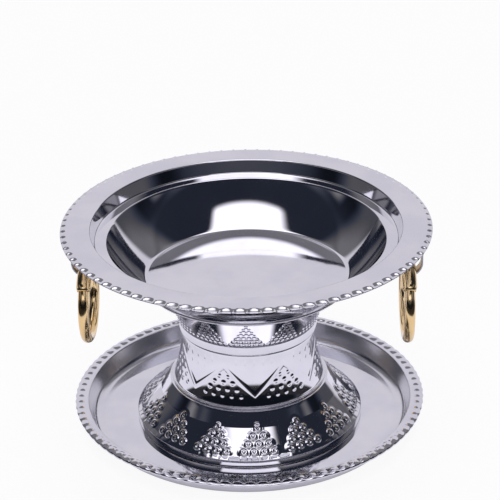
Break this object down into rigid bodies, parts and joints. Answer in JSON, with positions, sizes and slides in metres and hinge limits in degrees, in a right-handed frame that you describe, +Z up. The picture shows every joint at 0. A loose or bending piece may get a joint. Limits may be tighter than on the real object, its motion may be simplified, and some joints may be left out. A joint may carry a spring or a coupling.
{
  "type": "footed serving dish on a drip tray",
  "caption": "Polished footed serving dish with a flat-bottomed bowl, flat lobed rim, embossed waist and foot and hanging gold ring handles, standing in a separate round drip tray.",
  "frame": {"origin": "centre of the tray's underside, on the surface it stands on", "axes": "+Z up along the dish's axis, +X through the right ring handle, -Y towards the viewer"},
  "size_m": [0.23, 0.23, 0.134],
  "materials": {
    "polished_steel": "mirror-polished pressed sheet",
    "gold_plate": "polished gold plate",
    "plain_steel": "plain hidden hardware"
  },
  "bodies": {
    "tray": {"tray": "polished_steel"},
    "stand": {"foot": "polished_steel", "waist": "polished_steel", "collar": "polished_steel", "dish": "polished_steel", "tie_stud": "plain_steel", "clamp_disc": "plain_steel", "lock_washer": "plain_steel", "stud_nut": "plain_steel", "left_lug": "polished_steel", "right_lug": "polished_steel"},
    "left_ring": {"left_ring_sleeve": "gold_plate", "left_ring_bow": "gold_plate"},
    "right_ring": {"right_ring_sleeve": "gold_plate", "right_ring_bow": "gold_plate"}
  },
  "joints": [
    {"name": "stand_lift", "type": "slide", "parent": "tray", "child": "stand", "axis": [0, 0, 1], "range_m": [0, 0.06]},
    {"name": "left_ring_swing", "type": "hinge", "parent": "stand", "child": "left_ring", "pos_m": [-0.1, 0, 0.1055], "axis": [0, 1, 0], "range_deg": [-55, 135]},
    {"name": "right_ring_swing", "type": "hinge", "parent": "stand", "child": "right_ring", "pos_m": [0.1, 0, 0.1055], "axis": [0, -1, 0], "range_deg": [-55, 135]}
  ]
}
